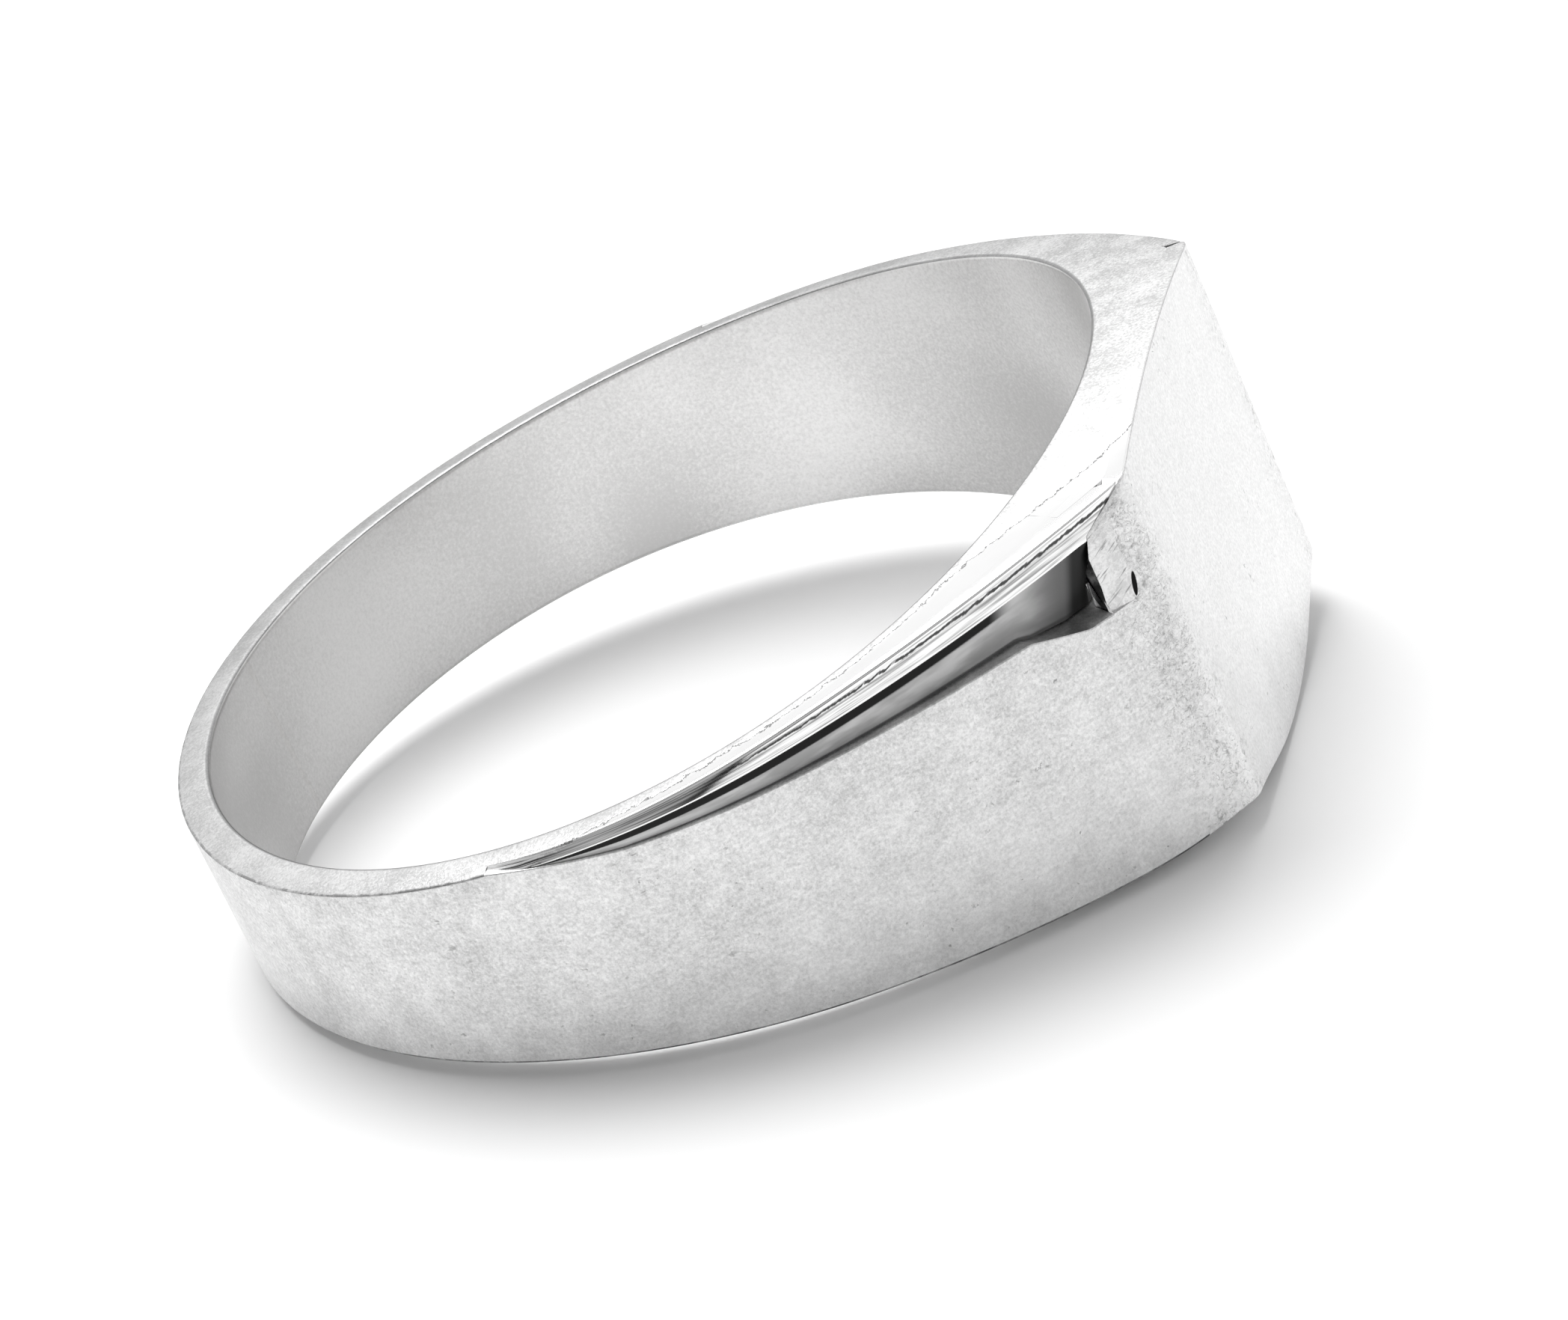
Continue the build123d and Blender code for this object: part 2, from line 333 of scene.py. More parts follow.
# ---- materials ----------------------------------------------------------------------------------
class Nodes:
    """Short way to build a material's node tree."""

    def __init__(self, name):
        self.mat = bpy.data.materials.new(name)
        self.mat.use_nodes = True
        self.tree = self.mat.node_tree
        self.shader = self.tree.nodes["Principled BSDF"]
        self.place = self.new("ShaderNodeTexCoord").outputs["Object"]

    def new(self, kind, **settings):
        node = self.tree.nodes.new(kind)
        for key, value in settings.items():
            setattr(node, key, value)
        return node

    def put(self, socket, value):
        if isinstance(value, bpy.types.NodeSocket):
            self.tree.links.new(value, socket)
        else:
            socket.default_value = value

    def math(self, op, a, b=0.0):
        node = self.new("ShaderNodeMath", operation=op)
        for socket, value in zip(node.inputs, (a, b)):
            self.put(socket, value)
        return node.outputs[0]

    def add(self, a, b):
        return self.math("ADD", a, b)

    def sub(self, a, b):
        return self.math("SUBTRACT", a, b)

    def mul(self, a, b):
        return self.math("MULTIPLY", a, b)

    def most(self, a, b):
        return self.math("MAXIMUM", a, b)

    def span(self, value, low, high, out_low=0.0, out_high=1.0, smooth=True):
        node = self.new("ShaderNodeMapRange", interpolation_type="SMOOTHSTEP" if smooth else "LINEAR")
        for key, v in (("Value", value), ("From Min", low), ("From Max", high),
                       ("To Min", out_low), ("To Max", out_high)):
            self.put(node.inputs[key], v)
        return node.outputs["Result"]

    def noise(self, vector, scale, detail=2.0, roughness=0.5, distortion=0.0):
        node = self.new("ShaderNodeTexNoise")
        self.put(node.inputs["Vector"], vector)
        for key, v in (("Scale", scale), ("Detail", detail), ("Roughness", roughness),
                       ("Distortion", distortion)):
            node.inputs[key].default_value = v
        return node.outputs["Fac"]

    def axes(self):
        node = self.new("ShaderNodeSeparateXYZ")
        self.put(node.inputs[0], self.place)
        return node.outputs

    def flow(self):
        """Place along and across a swept piece."""
        node = self.new("ShaderNodeSeparateXYZ")
        self.put(node.inputs[0], self.new("ShaderNodeUVMap", uv_map="flow").outputs[0])
        return node.outputs

    def vector(self, x, y, z):
        node = self.new("ShaderNodeCombineXYZ")
        for socket, value in zip(node.inputs, (x, y, z)):
            self.put(socket, value)
        return node.outputs[0]

    def mix(self, factor, a, b):
        node = self.new("ShaderNodeMix", data_type="RGBA")
        self.put(node.inputs["Factor"], factor)
        self.put(node.inputs[6], a)
        self.put(node.inputs[7], b)
        return node.outputs[2]

    def hairs(self, vector, scale, width, patch_scale, share):
        """1 along thin curved scuffs, gathered in patches."""
        line = self.noise(vector, scale, 1.5, 0.5, 0.6)
        off = self.math("ABSOLUTE", self.sub(line, 0.5))
        thin = self.span(off, width, width * 0.3)
        patch = self.span(self.noise(vector, patch_scale, 1.0), 1 - share, 1 - share + 0.06)
        return self.mul(thin, patch)

    def surface(self, colour, metal, rough, normal=None):
        """Fills the shader's sockets and gives the material."""
        self.put(self.shader.inputs["Base Color"], colour)
        self.put(self.shader.inputs["Metallic"], metal)
        self.put(self.shader.inputs["Roughness"], rough)
        if normal:
            self.put(self.shader.inputs["Normal"], normal)
        return self.mat

    def bump(self, height, strength, distance):
        node = self.new("ShaderNodeBump")
        node.inputs["Strength"].default_value = strength
        node.inputs["Distance"].default_value = distance
        self.put(node.inputs["Height"], height)
        return node.outputs["Normal"]


def grey(v, warm=0.0):
    """Colour of this lightness, a little towards red where warm."""
    return (v + warm, v, v - warm, 1.0)


SLIT_BACK, SLIT_Z = 0.63, 1.74
SLIT_HALF_WIDTH, SLIT_HALF_HEIGHT = 0.055, 0.24
SLIT_SLANT = 0.22


def slit_shade_mask(n, x, y, z):
    """1 in the short crisp slit where each filed bevel starts, above the strap's edge, which gets painted
    shade.
    """
    at = CORNER + RUN_BACK * SLIT_BACK
    aside = n.sub(n.math("ABSOLUTE", y), -at[1] * MM)
    ahead = n.sub(x, at[0] * MM)
    along = n.add(n.mul(ahead, RUN_BACK[0]), n.mul(aside, -RUN_BACK[1]))
    up = n.sub(z, SLIT_Z * MM)
    along = n.add(along, n.mul(up, SLIT_SLANT))
    along = n.math("DIVIDE", along, SLIT_HALF_WIDTH * MM)
    up = n.math("DIVIDE", up, SLIT_HALF_HEIGHT * MM)
    off = n.add(n.mul(along, along), n.mul(up, up))
    return n.span(off, 1.1, 0.8)


FINE_RELIEF = 0.000014         # depth of the satin grain, metres
ARC_RADIUS = 0.0102            # turns an angle into a length along the strap
BEND_PLACE = (0.01050, 0.00470)  # x and |y| of the bend between shoulder and table


def satin_silver(name, light, dark, rough, table_tone):
    """Blasted and brushed satin, duller on the strap than on the table."""
    n = Nodes(name)
    x, y, z = n.axes()
    arc = n.mul(n.math("ARCTAN2", y, x), ARC_RADIUS)
    mottle = n.noise(n.place, 1300, 3.0, 0.6)
    cloud = n.noise(n.place, 300, 3.0, 0.55)
    grain = n.noise(n.place, 15000, 2.0, 0.8)
    brush = n.noise(n.vector(n.mul(arc, 0.16), z, n.mul(x, 0.5)), 9000, 4.0, 0.65)
    tone = n.add(n.mul(mottle, 0.26), n.mul(cloud, 0.14))
    tone = n.add(n.add(tone, n.mul(grain, 0.42)), n.mul(brush, 0.18))
    tone = n.span(tone, 0.385, 0.62, smooth=False)
    base = n.mix(tone, grey(dark), grey(light))
    # painted light: the strap is lightened towards its lower edge
    painted_low_light = n.mix(tone, grey(dark * 1.55), grey(min(light * 1.2, 0.98)))
    base = n.mix(n.span(z, 0.0005, -0.0035, 0.0, 0.85), base, painted_low_light)
    base = n.mix(n.span(x, 0.01060, 0.01083), base, table_colour(n, grain, mottle, table_tone))
    patches = n.span(n.noise(n.place, 520, 2.0, 0.6), 0.44, 0.62)
    marks = satin_marks(n, arc, patches)
    base = n.mix(marks, base, grey(dark * 0.35))
    # painted shade: the slit is near-black
    base = n.mix(slit_shade_mask(n, x, y, z), base, grey(0.01))
    height = n.sub(n.add(n.mul(grain, 0.6), n.mul(brush, 0.8)), n.mul(marks, 1.2))
    return n.surface(base, 1.0, n.span(mottle, 0.3, 0.7, rough - 0.05, rough + 0.06, False),
                     n.bump(height, 0.4, FINE_RELIEF))


def table_colour(n, grain, mottle, tones):
    """Painted light: the table is a little lighter at its far end and low on its near half."""
    dark, light = tones
    _, y, z = n.axes()
    plain = n.span(n.add(n.mul(grain, 0.7), n.mul(mottle, 0.3)), 0.34, 0.66, smooth=False)
    near = n.mix(plain, grey(dark), grey(light))
    low = n.mix(plain, grey(dark + 0.16), grey(0.98))
    far = n.mix(plain, grey(dark + 0.06), grey(light + 0.04))
    near = n.mix(n.span(z, -0.0005, -0.0034), near, low)
    return n.mix(n.span(y, -0.0045, 0.0045), near, far)


def satin_marks(n, arc, patches):
    """Share of dark wear: flecks, scuffs at the bend, stray hairs, brush marks and pits."""
    x, y, z = n.axes()
    flecks = n.span(n.noise(n.place, 5200, 4.0, 0.72), 0.625, 0.70)
    marks = n.mul(n.mul(flecks, patches), 0.55)
    # scuffs gather just behind the bend between shoulder and table
    ahead = n.sub(x, BEND_PLACE[0])
    aside = n.sub(n.math("ABSOLUTE", y), BEND_PLACE[1])
    near_bend = n.span(n.math("SQRT", n.add(n.mul(aside, aside), n.mul(ahead, ahead))), 0.0015, 0.0002)
    hair = n.noise(n.place, 4600, 2.0, 0.6, 1.2)
    hair = n.span(n.math("ABSOLUTE", n.sub(hair, 0.5)), 0.014, 0.004)
    dirt = n.span(n.noise(n.place, 6200, 3.0, 0.75), 0.52, 0.70)
    dirt = n.mul(dirt, n.span(n.noise(n.place, 1500, 2.0, 0.6), 0.36, 0.60))
    scuff = n.most(n.mul(hair, 0.50), n.mul(dirt, 0.75))
    marks = n.most(marks, n.mul(n.mul(near_bend, scuff), 0.9))
    stray = n.hairs(n.place, 1500, 0.005, 420, 0.40)
    marks = n.most(marks, n.mul(stray, 0.22))
    # short brush marks under the upper edge, towards the back
    nicks = n.noise(n.vector(n.mul(arc, 0.10), z, n.mul(x, 0.3)), 8200, 3.0, 0.7)
    nicks = n.mul(n.span(nicks, 0.60, 0.68), n.span(patches, 0.2, 0.8))
    nicks = n.mul(nicks, n.span(z, -0.0002, 0.0010))
    nicks = n.mul(nicks, n.span(x, 0.0040, 0.0005))
    marks = n.most(marks, n.mul(nicks, 0.60))
    pits = n.span(n.noise(n.place, 6500, 2.0, 0.6, 0.6), 0.735, 0.775)
    return n.most(marks, n.mul(pits, 0.6))


STEPS_ACROSS = 16           # steps across the cheek in its "flow" coordinates
FACET = (8 / STEPS_ACROSS, 9 / STEPS_ACROSS)
WALL = (14 / STEPS_ACROSS, 15 / STEPS_ACROSS)


def polished_silver(name, light=0.93, cheek=False):
    """Mirror polish, with a matt rim along the bore."""
    n = Nodes(name)
    x, y, _ = n.axes()
    r = n.math("SQRT", n.add(n.mul(x, x), n.mul(y, y)))
    wave = n.noise(n.place, 700, 2.0, 0.5)
    fine = n.noise(n.place, 16000, 2.0, 0.8)
    ragged = n.noise(n.place, 2600, 5.0, 0.75)
    # the matt rim keeps the grain of the file; it widens at the head and the back
    near_angle = n.math("ARCTAN2", n.mul(y, -1.0), x)
    head = n.span(near_angle, math.radians(40), math.radians(8), 0.0, 0.0016)
    head = n.add(head, n.span(near_angle, 0.0, math.radians(-16), 0.0, 0.0012))
    back = n.span(x, 0.004, -0.005, 0.0, 0.0009)
    edge = n.add(n.add(head, back), 0.00975)
    edge = n.add(edge, n.mul(n.sub(ragged, 0.5), 0.00045))
    inside = n.sub(edge, r)
    matt = n.span(inside, 0.0, 0.00004)
    # painted dark line where the highlight ends, along the matt rim's ragged edge
    highlight_edge_line = n.span(n.math("ABSOLUTE", inside), 0.000028, 0.000012)
    rim = n.add(n.mul(fine, 0.6), n.mul(n.noise(n.place, 1100, 3.0, 0.6), 0.4))
    rim = n.mix(n.span(rim, 0.36, 0.64), grey(light * 0.52), grey(light * 0.92))
    base = n.mix(matt, grey(light), rim)
    base = n.mix(n.mul(matt, n.span(x, 0.009, 0.001, 0.08, 0.50)), base, grey(0.30))
    base = n.mix(n.mul(highlight_edge_line, 0.75), base, grey(0.12))
    # painted dark reflections along the bore's edge and, broken, along the outer edge of the back
    bore_edge_reflection = n.span(r, 0.00960, 0.00956)
    base = n.mix(n.mul(bore_edge_reflection, 0.65), base, grey(0.16))
    dashes = n.mul(n.span(ragged, 0.42, 0.56), n.span(x, 0.0, -0.001))
    outer_edge_reflection = n.mul(n.span(r, 0.010150, 0.010170), dashes)
    base = n.mix(n.mul(outer_edge_reflection, 0.6), base, grey(0.12))
    metal, dull = 1.0, matt
    if cheek:
        base, on_wall, metal = cheek_colour(n, base, light)
        dull = n.most(matt, on_wall)
    height = n.add(wave, n.mul(n.mul(fine, matt), 0.5))
    return n.surface(base, metal, n.span(dull, 0.0, 1.0, 0.10, 0.34, False),
                     n.bump(height, 0.25, 0.00004))


def cheek_colour(n, base, light):
    """Colour, with painted reflections and shade, share of wall and metallic share of a cheek.

    u runs along the cheek from its tip to the notch, v across it."""
    u, v, _ = n.flow()
    lines = n.vector(n.mul(u, 5.0), n.mul(v, STEPS_ACROSS * 5.5), 0.0)
    # painted reflection: light and dark streaks along the facet
    facet_reflection_streak = n.span(n.noise(lines, 1.0, 3.0, 0.6), 0.36, 0.62)
    on_facet = n.mul(n.span(v, FACET[0], FACET[0] + 0.003),
                     n.span(v, FACET[1], FACET[1] - 0.003))
    base = n.mix(on_facet, base, n.mix(facet_reflection_streak, grey(0.30), grey(light)))
    # painted reflection: wavering dark line along the facet's upper edge
    waver = n.noise(n.vector(n.mul(u, 45.0), 0.0, 0.0), 1.0, 4.0, 0.7)
    facet_edge_reflection = n.sub(n.sub(v, FACET[0]), n.mul(waver, 0.030))
    facet_edge_reflection = n.span(n.math("ABSOLUTE", facet_edge_reflection), 0.0055, 0.0025)
    facet_edge_reflection = n.mul(facet_edge_reflection, n.span(waver, 0.30, 0.45))
    base = n.mix(n.mul(facet_edge_reflection, n.span(u, 0.25, 0.45)), base, grey(0.07))
    # the wall is duller, its grey sweeps a painted reflection, with painted shade towards the notch and
    # along its foot, and a dark painted reflection at the cheek's tip
    on_wall = n.span(v, WALL[0] - 0.004, WALL[0])
    wall_reflection_sweeps = n.vector(n.mul(u, 7.0), n.mul(v, STEPS_ACROSS * 1.6), 3.0)
    wall_reflection_sweeps = n.span(n.noise(wall_reflection_sweeps, 1.0, 3.0, 0.6), 0.36, 0.64)
    dull = n.mix(wall_reflection_sweeps, grey(0.38), grey(0.62))
    dull = n.mix(n.span(u, 0.86, 0.96), dull, grey(0.12))
    base = n.mix(on_wall, base, dull)
    # painted shade along the wall's foot
    foot = n.span(v, WALL[1] - 0.006, WALL[1] - 0.003)
    base = n.mix(n.mul(foot, 0.8), base, grey(0.05))
    # painted dark reflection at the cheek's tip, following the facet's streaks
    tip = n.mul(n.span(u, 0.012, 0.03), n.span(u, 0.14, 0.06))
    tip = n.mul(tip, n.span(facet_reflection_streak, 0.9, 0.3))
    base = n.mix(n.mul(tip, n.span(v, FACET[0], FACET[0] + 0.02)), base, grey(0.03))
    # painted shade: black line under the wall's top edge, thinning towards the notch
    low = n.add(n.mul(n.sub(1.0, u), 0.022), WALL[0] + 0.008)
    under_edge = n.mul(on_wall, n.span(n.sub(v, low), 0.004, 0.0))
    under_edge_shade_line = n.mul(under_edge, n.mul(n.span(u, 0.02, 0.10), n.span(u, 0.88, 0.83)))
    base = n.mix(under_edge_shade_line, base, grey(0.02))
    # painted shade far in the notch, at the top of the wall
    notch_shade = n.mul(n.span(v, WALL[0] - 0.01, WALL[0]), n.span(u, 0.955, 0.975))
    base = n.mix(notch_shade, base, grey(0.03))
    # the unpolished wall is rough, and mostly non-metallic so that its painted reflection and shade show in
    # place of a mirror image of the ledge below it
    wall_paint_share = n.mul(on_wall, n.sub(1.0, n.most(under_edge_shade_line, notch_shade)))
    return base, on_wall, n.span(wall_paint_share, 0.0, 1.0, 1.0, 0.25, False)


def recess_shade_silver(name):
    """Near-black painted shade for the end walls of the notches."""
    n = Nodes(name)
    recess_mottle = n.noise(n.place, 2600, 4.0, 0.7)
    return n.surface(n.mix(n.span(recess_mottle, 0.40, 0.72), grey(0.015), grey(0.16)), 1.0,
                     n.span(recess_mottle, 0.3, 0.7, 0.35, 0.5, False), n.bump(recess_mottle, 0.3, 0.00003))


HATCH_TURN = math.radians(27)


def filed_silver(name):
    """Bevel with the fine hatching of a needle file."""
    n = Nodes(name)
    x, y, z = n.axes()
    along = n.add(n.mul(x, 0.8), n.mul(n.math("ABSOLUTE", y), -0.6))
    turn = HATCH_TURN
    lengthways = n.add(n.mul(along, math.cos(turn)), n.mul(z, math.sin(turn)))
    across = n.sub(n.mul(z, math.cos(turn)), n.mul(along, math.sin(turn)))
    hatch_place = n.vector(n.mul(lengthways, 0.12), across, 0.0)
    hatch = n.noise(hatch_place, 15000, 2.0, 0.6)
    grain = n.noise(n.place, 14000, 2.0, 0.8)
    cloud = n.noise(n.place, 1800, 2.0, 0.6)
    tone = n.span(n.add(n.mul(grain, 0.5), n.mul(cloud, 0.5)), 0.38, 0.62)
    base = n.mix(tone, grey(0.58), grey(0.80))
    base = n.mix(n.mul(n.span(hatch, 0.58, 0.70), 0.65), base, grey(0.12))
    # painted shade: the slit is near-black
    base = n.mix(slit_shade_mask(n, x, y, z), base, grey(0.01))
    return n.surface(base, 1.0, n.span(cloud, 0.3, 0.7, 0.30, 0.42, False),
                     n.bump(n.sub(grain, hatch), 0.4, FINE_RELIEF))


def bore_silver(name, dark, light, warm):
    """Matt inside of the band, with painted shade darkening it at the back."""
    n = Nodes(name)
    blotch = n.noise(n.place, 170, 1.5, 0.5)
    fine = n.noise(n.place, 15000, 2.0, 0.7)
    soft = n.add(n.mul(blotch, 0.7), n.mul(fine, 0.3))
    base = n.mix(n.span(soft, 0.34, 0.66), grey(dark, warm), grey(light, warm))
    x = n.axes()[0]
    # painted shade: darker towards the back
    base = n.mix(n.span(x, -0.004, -0.0085, 0.0, 0.42), base, grey(dark * 0.6, warm))
    return n.surface(base, 1.0, n.span(blotch, 0.3, 0.7, 0.34, 0.44, False),
                     n.bump(fine, 0.2, 0.00001))


def lower_edge_shade_silver(name):
    """Painted shade along the strap's lower edge, dull and broken along its length."""
    n = Nodes(name)
    # the noise only breaks up the painted shade line
    worn = n.noise(n.place, 1500, 4.0, 0.7)
    return n.surface(n.mix(n.span(worn, 0.40, 0.66), grey(0.10), grey(0.42)), 0.6, 0.4)


POLISHED = polished_silver("polished_silver")
CHEEK_POLISHED = polished_silver("cheek_silver", cheek=True)
SATIN = satin_silver("satin_silver", 0.86, 0.47, 0.36, table_tone=(0.63, 0.86))
BEVEL_FILED = filed_silver("filed_silver")
EDGE_SHADE = lower_edge_shade_silver("lower_edge_shade_silver")
RECESS_SHADE = recess_shade_silver("recess_shade_silver")
BORE_SATIN = bore_silver("bore_satin_silver", 0.62, 0.96, 0.003)
SOLDER = bore_silver("solder_silver", 0.61, 0.94, 0.006)


# ---- pieces ---------------------------------------------------------------------------------------
def loop_band(phi, sink=0.0):
    """Sections of the finger band, sunk a little where the solder fills it."""
    phi = np.asarray(phi, float)
    top_out, top_in = side_at(BAND, phi), side_at(BORE, phi)
    one = np.ones_like(phi)
    corners = [xyz(BAND * one, phi, -low_at(BAND, phi)), xyz(BAND * one, phi, top_out - sink),
               xyz(BORE * one + sink, phi, top_in - sink),
               xyz(BORE * one + sink, phi, -low_at(BORE, phi))]
    return np.stack(corners, 1)


def make_band():
    half = math.degrees(SEAM_HALF / BORE)
    phi = np.linspace(SEAM_ANGLE + half, SEAM_ANGLE - half + 360, 721)
    radii = [0, 0, 0.11, 0.11]
    slots = corner_slots(radii)
    bore_first, bore_last = slots[2][1] - 2, slots[3][0] + 1

    def which(m):
        return 1 if bore_first <= m <= bore_last else 0

    band = sweep("inner_band_silver", rounded(loop_band(phi), radii), material_of=which,
                 materials=(POLISHED, BORE_SATIN))
    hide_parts("inner_band")
    strip = np.linspace(SEAM_ANGLE - half, SEAM_ANGLE + half, 5)
    solder = sweep("sizing_solder", rounded(loop_band(strip, 0.001), radii), material_of=which,
                   materials=(POLISHED, SOLDER))
    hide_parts("sizing_seam")
    return [band, solder]


def make_back_strap():
    phi = np.concatenate([np.linspace(TIP, 180, 260), np.linspace(180, 360 - TIP, 260)[1:]])
    one = np.ones_like(phi)
    t_in, t_out = side_at(BAND, phi), side_at(SHANK, phi)
    P = np.stack([xyz(BAND * one, phi, -low_at(BAND, phi)),
                  xyz(SHANK * one, phi, -low_at(SHANK, phi)),
                  xyz(SHANK * one, phi, t_out), xyz(BAND * one, phi, t_in)], 1)
    radii = [0, 0.06, 0.06, 0]
    slots = corner_slots(radii)

    def which(m):
        return 0 if slots[1][1] <= m < slots[2][0] + 2 else 1

    back = sweep("back_strap_satin", rounded(P, radii), material_of=which,
                 materials=(SATIN, POLISHED))
    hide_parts("back_strap")
    return back


WALL_COVER = 0.12           # the cheek's wall stands this far outside the strap's inside


def inner_limit(f):
    """Inside of the shoulder strap, always behind the cheek's wall."""
    return np.minimum(f["d"] - SKIN, f["wall"] - WALL_COVER)


CHEEK_STATIONS = np.linspace(0, 1, 150)


def cheek_angles(end=END):
    """Angles from the cheek's tip to its end."""
    return TIP + (end - TIP) * CHEEK_STATIONS


def make_shoulders():
    phi = cheek_angles()
    f = features(phi)
    ledge = f["ledge"]
    r_in = inner_limit(f)
    P = np.stack([xyz(r_in, phi, -low_at(r_in, phi)), xyz(f["d"], phi, -low_at(f["d"], phi)),
                  xyz(f["d"], phi, ledge), xyz(r_in, phi, ledge + ledge_lift(phi))], 1)
    radii = [0, 0.05, 0.035, 0]
    slots = corner_slots(radii)

    def which(m):
        if m < slots[1][0]:
            return 1
        # slot 2 paints shade on the strap's lower edge
        return 2 if m < slots[1][1] else 0

    near = sweep("near_shoulder_satin", rounded(P, radii), material_of=which,
                 materials=(SATIN, POLISHED, EDGE_SHADE))
    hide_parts("near_shoulder_strap")
    far = mirrored(near, "far_shoulder_satin")
    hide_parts("far_shoulder_strap")
    return [near, far]


def paint_recess_shade(obj, slot):
    """Paints shade on the end walls of the two notches."""
    for face in obj.data.polygons:
        c, n = face.center / MM, face.normal
        behind = (c.x - CORNER[0]) * RUN_BACK[0] + (abs(c.y) + CORNER[1]) * -RUN_BACK[1]
        facing = n.x * RUN_BACK[0] + math.copysign(n.y, n.y * c.y) * -RUN_BACK[1]
        if facing > 0.5 and c.z > 1.3 and 0.9 < behind < 2.3 and abs(n.z) < 0.7:
            face.material_index = slot


HIGHEST_LEDGE = 2.5


def make_core():
    """Core: low under the cheeks, and full height under the table, with the notch's end wall."""
    phi_low = cheek_angles()
    f = features(phi_low)
    ledge = f["ledge"] + ledge_lift(phi_low)
    phi_high = np.linspace(END, 0, 60)
    r_high = outside(phi_high) - SKIN
    z_high = side_at(BAND * np.ones_like(phi_high), phi_high)

    def both(low, high, sign=1):
        """Near half from its low and its high part, and the far half after it."""
        half = np.concatenate([low, high])
        return np.concatenate([half, sign * half[::-1][1:]])

    phi = both(phi_low, phi_high, -1)
    r = both(inner_limit(f), r_high)
    z_out = both(ledge, side_at(r_high, phi_high))
    z_in = both(ledge, z_high)
    r_in = BAND * np.ones_like(r)
    mid = (r + r_in) / 2
    z_mid = np.where(z_out > HIGHEST_LEDGE, side_at(mid, phi), z_out)
    P = np.stack([xyz(r_in, phi, -low_at(r_in, phi)), xyz(mid, phi, -low_at(mid, phi)),
                  xyz(r, phi, -low_at(r, phi)), xyz(r, phi, z_out), xyz(mid, phi, z_mid),
                  xyz(r_in, phi, z_in)], 1)
    core = sweep("head_core_silver", P, materials=(POLISHED, RECESS_SHADE))
    # painted shade on the notch's end walls
    paint_recess_shade(core, 1)
    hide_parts("head_block")
    return core


# where the notch's end wall stands on the head's outside, at each height
LIP_TOP = 3.04
LIP_Z = [0.0, DIP_HALF, 2.0, 2.63, LIP_TOP, 3.24, 3.62]
LIP_BACK = [END_BACK, END_BACK, 1.20, 1.21, 1.06, 0.76, 0.06]
# where the filed bevel starts, back from the corner, and its share of the full depth
BEVEL_START_Z, BEVEL_START = [DIP_HALF, 1.9, 2.3, 3.0, 3.45, 3.7], [0.65, 0.67, 0.61, 0.47, 0.0, -0.1]
BEVEL_SHARE_Z, BEVEL_SHARE = [DIP_HALF, LIP_TOP, 3.7], [1.0, 0.9, 0.0]


def table_level(level):
    """One line along the table's outside and inside, from the far notch to the near one.

    level is ("under", share) below the middle, ("at", height) or ("top", share) above it."""
    kind, value = level
    bend = angle_at(0.0)
    flat = np.concatenate([np.linspace(0, bend - 1.6, 30),
                           np.linspace(bend - 1.6, bend - 0.2, 22)[1:]])
    if kind == "under":
        end_z, back = 0.0, END_BACK
    else:
        end_z = value if kind == "at" else LIP_TOP + (LIP_Z[-1] - LIP_TOP) * value
        back = float(np.interp(end_z, LIP_Z, LIP_BACK))
    phi = np.concatenate([flat, np.linspace(flat[-1], angle_at(back), 40)[1:]])
    phi = np.concatenate([-phi[::-1][:-1], phi])
    d = outside(phi)

    def height(r):
        if kind == "under":
            return -value * low_at(r, phi)
        if kind == "at":
            return np.full_like(phi, value)
        return LIP_TOP + (side_at(r, phi) - LIP_TOP) * value

    p = xyz(d, np.abs(phi), 0.0)
    depth = filed_depth((p[:, :2] - CORNER) @ RUN_BACK, end_z, back)
    return xyz(d - depth, phi, height(d - depth)), xyz(d - SKIN, phi, height(d - SKIN))


def filed_depth(s, z, back):
    """Depth of the filed bevel this far back from the table's corner."""
    if z <= DIP_HALF:
        return np.zeros_like(s)
    start = np.interp(z, BEVEL_START_Z, BEVEL_START)
    deepest = BEVEL_DEPTH * np.interp(z, BEVEL_SHARE_Z, BEVEL_SHARE)
    return deepest * np.clip((s - start) / max(back - start, 0.05), 0, 1) ** 1.6


def make_table():
    levels = [("under", u) for u in np.linspace(1, 0, 9)]
    heights = (0.5, 1.0, 1.35, DIP_HALF, BEVEL_FOOT, 1.6, 1.8, 2.0, 2.2, 2.4, 2.63, 2.85, LIP_TOP)
    levels += [("at", z) for z in heights]
    levels += [("top", u) for u in np.linspace(0, 1, 7)[1:]]
    rows = [table_level(level) for level in levels]
    outer = np.stack([row[0] for row in rows], 1)
    inner = np.stack([row[1] for row in rows], 1)
    P = np.concatenate([outer, inner[:, ::-1]], 1)
    radii = [0] * P.shape[1]
    radii[0] = radii[len(levels) - 1] = 0.05
    table = grid_solid("signet_table_satin", rounded(P, radii))
    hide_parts("signet_table")
    return table


def grid_solid(name, P):
    """Sweep whose two ends are closed by rungs between the outer and the inner side."""
    S, M, _ = P.shape
    faces = walls(S, M)
    for s in (0, S - 1):
        a, b = 0, M - 1
        while b - a > 1:
            if b - a == 2:
                faces.append((s * M + a, s * M + a + 1, s * M + b))
                break
            faces.append((s * M + a, s * M + a + 1, s * M + b - 1, s * M + b))
            a, b = a + 1, b - 1
    mesh = bpy.data.meshes.new(name)
    mesh.from_pydata((P.reshape(-1, 3) * MM).tolist(), [], faces)
    obj = link(name, mesh)
    clean(obj)
    return obj


